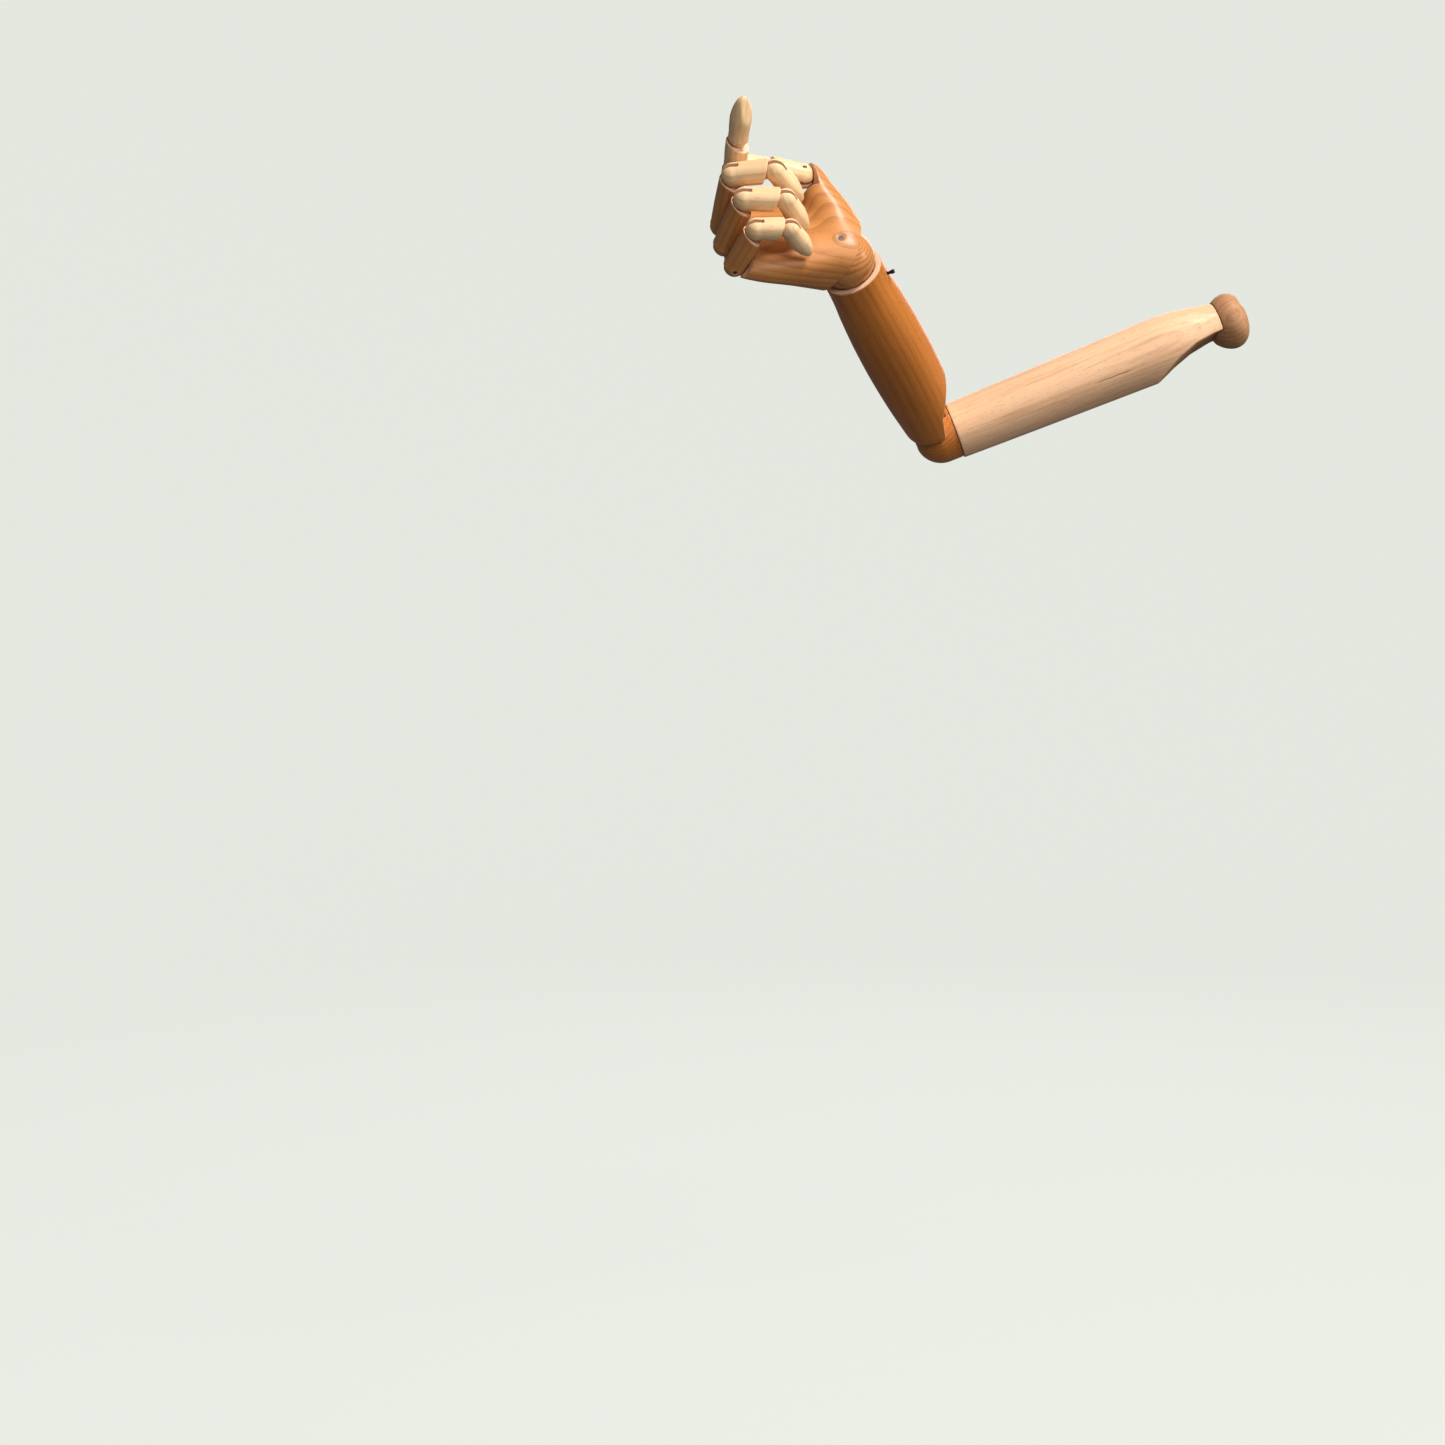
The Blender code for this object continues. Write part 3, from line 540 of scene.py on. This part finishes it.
def phalanx_field(length, radius, next_radius, pad_turn, pin_end):
    """The field of one phalanx. A fingertip has no next radius: it tapers, with a flat pad."""
    small = radius - BALL_STEP
    start = FULLEST * length

    def field(points):
        height = points[:, 2]
        width = np.interp(height, (0.0, 3.0, start), (small, small - BALL_STEP, radius))
        across = np.hypot(points[:, 0], points[:, 1])
        if next_radius is None:
            taper = np.maximum((height - start) / (length - start), 0)
            body = (np.sqrt((across / width) ** 2 + taper ** TIP_POWER) - 1) * radius
        else:
            body = across - width
        outer = np.where(height > 0, body, sphere(points, small))
        if next_radius is None:
            pad = turn("Z", pad_turn) @ shift(0, -PAD_DEPTH * radius, start) @ turn("X", PAD_SLOPE)
            solid = outer = carve(outer, local(points, pad)[:, 1], 1.2)
        else:
            at = shift(0, 0, length)
            solid = carve(outer, -local(points, rim_frame(at, radius))[:, 2], 0.6)
            solid = carve_socket(solid, points, at, next_radius, 0.5)
        slot = block(points, (-TONGUE_HALF, -FAR, -FAR), (TONGUE_HALF, FAR, FINGER_SLOT_END))
        solid = carve(solid, slot, 0.4)
        return carve(solid, rod(points, 0, FINGER_PIN_HOLE, pin_end, FAR), 0.5), outer

    return field


# Materials

class Graph:
    """Shorthand for building one material's nodes."""

    def __init__(self, name):
        self.material = bpy.data.materials.new(name)
        self.material.use_nodes = True
        self.tree = self.material.node_tree
        self.shader = self.tree.nodes["Principled BSDF"]

    def node(self, kind, **settings):
        made = self.tree.nodes.new(kind)
        for key, value in settings.items():
            setattr(made, key, value)
        return made

    def feed(self, socket, value):
        """Links a socket to the input, or sets the input to a value."""
        if isinstance(value, bpy.types.NodeSocket):
            self.tree.links.new(value, socket)
        else:
            socket.default_value = value

    def math(self, operation, first, second=0.5, third=0.5, clamp=False):
        made = self.node("ShaderNodeMath", operation=operation, use_clamp=clamp)
        for socket, value in zip(made.inputs, (first, second, third)):
            self.feed(socket, value)
        return made.outputs[0]

    def ramp(self, value, low, high, to_low=0.0, to_high=1.0):
        made = self.node("ShaderNodeMapRange", interpolation_type="SMOOTHSTEP")
        for socket, part in zip(made.inputs, (value, low, high, to_low, to_high)):
            self.feed(socket, part)
        return made.outputs[0]

    def mix(self, share, first, second, blend="MIX"):
        made = self.node("ShaderNodeMix", data_type="RGBA", blend_type=blend)
        self.feed(made.inputs[0], share)
        self.feed(made.inputs[6], first)
        self.feed(made.inputs[7], second)
        return made.outputs[2]

    def placed(self, vector, scale=(1, 1, 1), location=(0, 0, 0), rotation=(0, 0, 0)):
        made = self.node("ShaderNodeMapping")
        self.feed(made.inputs["Vector"], vector)
        made.inputs["Location"].default_value = location
        made.inputs["Rotation"].default_value = [math.radians(angle) for angle in rotation]
        made.inputs["Scale"].default_value = scale
        return made.outputs[0]

    def noise(self, vector, scale, detail=2.0, roughness=0.5):
        made = self.node("ShaderNodeTexNoise")
        self.feed(made.inputs["Vector"], vector)
        made.inputs["Scale"].default_value = scale
        made.inputs["Detail"].default_value = detail
        made.inputs["Roughness"].default_value = roughness
        return made.outputs[0]


def wood(name, light, dark, bare, rings=95.0, tilt=(0, 0, 0), centre=(0.0, 0.03, 0.0), contrast=0.5,
         gloss=0.3, coat=0.35, streak=0.35, crack=False):
    """Varnished wood whose grain runs along the piece, with bare wood on its cut faces."""
    g = Graph(name)
    coords = g.node("ShaderNodeAttribute", attribute_name="grain").outputs["Vector"]
    grain = g.placed(coords, rotation=tilt, location=centre)
    sway = g.noise(g.placed(grain, scale=(1, 1, 0.35)), 30.0, 2.0)
    flat = g.placed(grain, scale=(1, 1, 0.06))
    wave = g.node("ShaderNodeTexWave", wave_type="RINGS", rings_direction="Z", wave_profile="SAW")
    g.feed(wave.inputs["Vector"], flat)
    wave.inputs["Scale"].default_value = rings
    wave.inputs["Distortion"].default_value = 2.2
    wave.inputs["Detail"].default_value = 2.0
    wave.inputs["Detail Scale"].default_value = 0.8
    ring = g.ramp(wave.outputs["Fac"], 0.25, 1.0)
    fibre = g.noise(g.placed(grain, scale=(1, 1, 0.045)), 900.0, 4.0, 0.6)
    band = g.noise(g.placed(grain, scale=(1, 1, 0.05)), 160.0, 3.0, 0.55)
    pores = g.noise(g.placed(grain, scale=(1, 1, 0.12)), 1900.0, 1.0, 0.4)
    pore = g.ramp(pores, 0.66, 0.76)

    tone = g.math("MULTIPLY", ring, contrast)
    tone = g.math("ADD", tone, g.math("MULTIPLY", g.math("SUBTRACT", band, 0.5), 1.3 * streak))
    tone = g.math("ADD", tone, g.math("MULTIPLY", g.math("SUBTRACT", fibre, 0.5), streak))
    tone = g.math("ADD", tone, g.math("MULTIPLY", g.math("SUBTRACT", sway, 0.5), 0.55), clamp=True)
    colour = g.mix(tone, light, dark)
    colour = g.mix(g.math("MULTIPLY", pore, 0.4), colour, tuple(0.45 * c for c in dark[:3]) + (1.0,))
    cut = g.node("ShaderNodeAttribute", attribute_name="bare").outputs["Fac"]
    raw = g.mix(g.math("MULTIPLY", fibre, 0.5), bare, tuple(0.7 * c for c in bare[:3]) + (1.0,))
    colour = g.mix(cut, colour, raw)
    wear = g.ramp(g.node("ShaderNodeNewGeometry").outputs["Pointiness"], 0.515, 0.60)
    colour = g.mix(g.math("MULTIPLY", wear, 0.45), colour, bare)
    dents = g.ramp(g.noise(coords, 420.0, 2.0), 0.66, 0.74)
    colour = g.mix(g.math("MULTIPLY", dents, 0.18), colour, dark)
    if crack:
        colour = add_crack(g, coords, colour)
    g.feed(g.shader.inputs["Base Color"], colour)

    rough = g.math("ADD", gloss, g.math("MULTIPLY", fibre, 0.16))
    rough = g.math("ADD", rough, g.math("MULTIPLY", cut, 0.3))
    g.feed(g.shader.inputs["Roughness"], g.math("MINIMUM", rough, 0.9))
    g.feed(g.shader.inputs["Coat Weight"], g.math("MULTIPLY", g.math("SUBTRACT", 1.0, cut), coat))
    g.shader.inputs["Coat Roughness"].default_value = 0.22
    g.shader.inputs["Specular IOR Level"].default_value = 0.22
    relief = g.math("ADD", g.math("MULTIPLY", fibre, 0.6), g.math("MULTIPLY", pore, -0.8))
    relief = g.math("ADD", relief, g.math("MULTIPLY", g.noise(coords, 60.0, 1.0), 2.5))
    bump = g.node("ShaderNodeBump")
    bump.inputs["Strength"].default_value = 0.35
    bump.inputs["Distance"].default_value = 0.00012
    g.feed(bump.inputs["Height"], relief)
    g.feed(g.shader.inputs["Normal"], bump.outputs[0])
    return g.material


def add_crack(g, coords, colour):
    """A fine drying crack, dark and slightly wavy, on the side that faces forward."""
    split = g.node("ShaderNodeSeparateXYZ")
    g.feed(split.inputs[0], coords)
    x, y, z = split.outputs
    wobble = g.math("MULTIPLY", g.math("SUBTRACT", g.noise(coords, 160.0, 2.0), 0.5), 0.0016)
    line = g.math("MULTIPLY_ADD", g.math("SUBTRACT", z, 0.0955), 0.03, -0.0102)
    off = g.math("ABSOLUTE", g.math("SUBTRACT", g.math("ADD", x, wobble), line))
    thin = g.ramp(off, 0.00035, 0.00012)
    ends = g.math("MULTIPLY", g.ramp(z, 0.0795, 0.088), g.ramp(z, 0.113, 0.107))
    front = g.math("LESS_THAN", y, 0.0)
    share = g.math("MULTIPLY", g.math("MULTIPLY", thin, ends), front)
    return g.mix(g.math("MULTIPLY", share, 0.8), colour, (0.10, 0.04, 0.015, 1.0))


def plain(name, colour, roughness, metallic, speckle):
    """Fibre or steel with a fine mottled surface."""
    g = Graph(name)
    coords = g.node("ShaderNodeTexCoord").outputs["Object"]
    spots = g.noise(coords, 700.0, 4.0, 0.6)
    dark = tuple(speckle * c for c in colour[:3]) + (1.0,)
    g.feed(g.shader.inputs["Base Color"], g.mix(g.ramp(spots, 0.35, 0.65), dark, colour))
    g.feed(g.shader.inputs["Roughness"], g.math("MULTIPLY_ADD", spots, 0.25, roughness))
    g.shader.inputs["Metallic"].default_value = metallic
    bump = g.node("ShaderNodeBump")
    bump.inputs["Strength"].default_value = 0.3
    bump.inputs["Distance"].default_value = 0.00008
    g.feed(bump.inputs["Height"], spots)
    g.feed(g.shader.inputs["Normal"], bump.outputs[0])
    return g.material


# Colours of the woods: early and late wood of a ring, and the bare cut
BARE = (0.82, 0.53, 0.35, 1.0)
AMBER = {"light": (0.57, 0.235, 0.068, 1.0), "dark": (0.25, 0.066, 0.008, 1.0), "bare": BARE}
BROWN = {"light": (0.52, 0.172, 0.028, 1.0), "dark": (0.21, 0.046, 0.002, 1.0), "bare": BARE}
HONEY = {"light": (0.86, 0.58, 0.32, 1.0), "dark": (0.44, 0.22, 0.08, 1.0), "bare": BARE}
CREAM = {"light": (0.80, 0.49, 0.29, 1.0), "dark": (0.40, 0.18, 0.075, 1.0),
         "bare": (0.50, 0.25, 0.11, 1.0)}
UMBER = {"light": (0.46, 0.23, 0.11, 1.0), "dark": (0.14, 0.050, 0.017, 1.0),
         "bare": (0.36, 0.18, 0.08, 1.0)}

palm_wood = wood("palm_wood", **AMBER, rings=62.0, centre=(0.01, 0.045, 0.0), contrast=0.38,
                 gloss=0.38, coat=0.16)
proximal_wood = wood("proximal_wood", **AMBER, rings=80.0, contrast=0.3, coat=0.25)
ball_wood = wood("ball_wood", **AMBER, rings=150.0, tilt=(90, 0, 17), centre=(0.002, 0.002, 0.0),
                 contrast=0.55, coat=0.3)
elbow_wood = wood("elbow_wood", **BROWN, rings=110.0, tilt=(0, 70, 0), contrast=0.35, coat=0.3)
forearm_wood = wood("forearm_wood", **BROWN, rings=55.0, centre=(0.0, 0.05, 0.0), contrast=0.25,
                    gloss=0.36, coat=0.15, streak=0.5)
finger_wood = wood("finger_wood", **HONEY, rings=90.0, contrast=0.25, gloss=0.38, coat=0.15)
arm_wood = wood("arm_wood", **CREAM, rings=120.0, centre=(0.0, 0.07, 0.0), contrast=0.2, gloss=0.45,
                coat=0.08, streak=0.95, crack=True)
knob_wood = wood("knob_wood", **UMBER, rings=90.0, tilt=(0, 15, 0), contrast=0.3, gloss=0.55,
                 coat=0.03, streak=0.8)
tongue_fibre = plain("tongue_fibre", (0.23, 0.075, 0.035, 1.0), 0.5, 0.0, 0.55)
dark_steel = plain("dark_steel", (0.16, 0.15, 0.14, 1.0), 0.32, 1.0, 0.5)
black_steel = plain("black_steel", (0.045, 0.042, 0.04, 1.0), 0.4, 1.0, 0.6)


# Assembly

build("shoulder_knob", knob_field, (-22, -22, -11), (22, 22, 17), 0.6, ARM, "upper_arm", knob_wood)
build("upper_arm", upper_arm_field, (-25, -25, 10), (25, 25, 221), 0.9, ARM, "upper_arm", arm_wood)
build("elbow_knuckle", elbow_field, (-21, -21, -46), (21, 21, 21), 0.7, ELBOW, "elbow", elbow_wood)
build("forearm", forearm_field, (-26, -26, 13), (26, 26, 182), 0.85, FOREARM, "forearm",
      forearm_wood)
build("wrist_ball", wrist_ball_field, (-20, -20, -20), (20, 20, 20), 0.6, HAND, "palm", ball_wood)
build("palm", palm_field, (-38, -36, -14), (58, 23, 89), 0.75, HAND, "palm", palm_wood)
for finger_name, finger in FINGERS.items():
    parts = ("proximal", "distal") if finger_name == "thumb" else ("proximal", "middle", "distal")
    at = HAND @ knuckle_frame(finger_name)
    for index, part in enumerate(parts):
        at = at @ turn("X", finger["bends"][index])
        length, radius = finger["lengths"][index], finger["radii"][index]
        following = finger["radii"][index + 1] if index + 1 < len(parts) else None
        varnished = part == "proximal" and finger_name != "thumb"
        through = finger_name == "little" and part == "proximal"
        pin_end = -FAR if through else FINGER_PIN_END
        field = phalanx_field(length, radius, following, finger["pad_turn"], pin_end)
        side = radius + 0.3
        look, slot = (proximal_wood, "varnished_wood") if varnished else (finger_wood, "pale_wood")
        build(f"{finger_name}_{part}", field, (-side, -side, -side), (side, side, length + 0.3), 0.45, at,
              f"{finger_name}_{part}", look)
        at = at @ shift(0, 0, length)

for node_name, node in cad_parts.items():
    if node_name.endswith("_tongue") and node_name != "wrist_tongue":
        chosen = tongue_fibre
    elif node_name == "wrist_set_screw":
        chosen = black_steel
    elif node_name.endswith("_pin") or node_name == "wrist_tongue":
        chosen = dark_steel
    else:
        continue
    for slot in node.material_slots:
        slot.material = chosen


# Stage, light and camera

def add_cove(radius, floor, bend, height, material):
    """A round studio cove: a floor that curves up into a wall all round, shown but lighting nothing."""
    profile = [(0.0, floor), (radius - bend, floor)]
    for step in range(1, 13):
        angle = math.pi / 2 * step / 12
        profile.append((radius - bend + bend * math.sin(angle), floor + bend - bend * math.cos(angle)))
    profile.append((radius, height))
    profile.append((0.0, height))
    around = 64
    points = []
    for step in range(around):
        angle = 2 * math.pi * step / around
        points += [(r * math.cos(angle), r * math.sin(angle), z) for r, z in profile]
    count = len(profile)
    faces = []
    for step in range(around):
        here, there = step * count, (step + 1) % around * count
        for row in range(count - 1):
            faces.append((here + row, there + row, there + row + 1, here + row + 1))
    mesh = bpy.data.meshes.new("cove")
    mesh.from_pydata(points, [], faces)
    mesh.shade_smooth()
    mesh.materials.append(material)
    cove = bpy.data.objects.new("cove", mesh)
    bpy.context.scene.collection.objects.link(cove)
    cove.visible_diffuse = False
    cove.visible_glossy = False


backdrop = Graph("backdrop")
backdrop.shader.inputs["Base Color"].default_value = (0.08, 0.08, 0.078, 1.0)
backdrop.shader.inputs["Roughness"].default_value = 1.0
backdrop.shader.inputs["Specular IOR Level"].default_value = 0.0
backdrop.shader.inputs["Emission Color"].default_value = (0.755, 0.778, 0.717, 1.0)
backdrop.shader.inputs["Emission Strength"].default_value = 1.0
add_cove(radius=4.5, floor=-0.9, bend=1.5, height=4.5, material=backdrop.material)


def area_light(name, place, aim, size, power, colour):
    data = bpy.data.lights.new(name, "AREA")
    data.size = size
    data.energy = power
    data.color = colour
    obj = bpy.data.objects.new(name, data)
    bpy.context.scene.collection.objects.link(obj)
    obj.location = place
    obj.rotation_euler = (Vector(aim) - Vector(place)).to_track_quat("-Z", "Y").to_euler()


CENTRE = (-0.2, -0.05, -0.02)
area_light("key", (0.50, -1.30, 1.60), CENTRE, 0.6, 60.0, (1.0, 0.975, 0.945))
area_light("right", (1.4, -0.75, 0.35), CENTRE, 0.5, 10.0, (1.0, 0.98, 0.95))
area_light("front", (0.25, -2.3, 0.3), CENTRE, 1.0, 19.0, (1.0, 0.99, 0.97))
area_light("behind", (0.3, 1.9, 1.0), CENTRE, 1.4, 17.0, (1.0, 0.99, 0.97))
bpy.context.scene.view_settings.view_transform = "Standard"
world = bpy.data.worlds.new("room")
world.use_nodes = True
world.node_tree.nodes["Background"].inputs["Color"].default_value = (0.93, 0.95, 0.96, 1.0)
world.node_tree.nodes["Background"].inputs["Strength"].default_value = 0.16
bpy.context.scene.world = world

camera_data = bpy.data.cameras.new("camera")
camera_data.sensor_width = 36.0
camera_data.lens = 40.86
camera = bpy.data.objects.new("camera", camera_data)
bpy.context.scene.collection.objects.link(camera)
camera.location = (-0.3832, -1.2360, -0.3030)
camera.rotation_euler = (math.radians(90), 0, 0)
bpy.context.scene.camera = camera
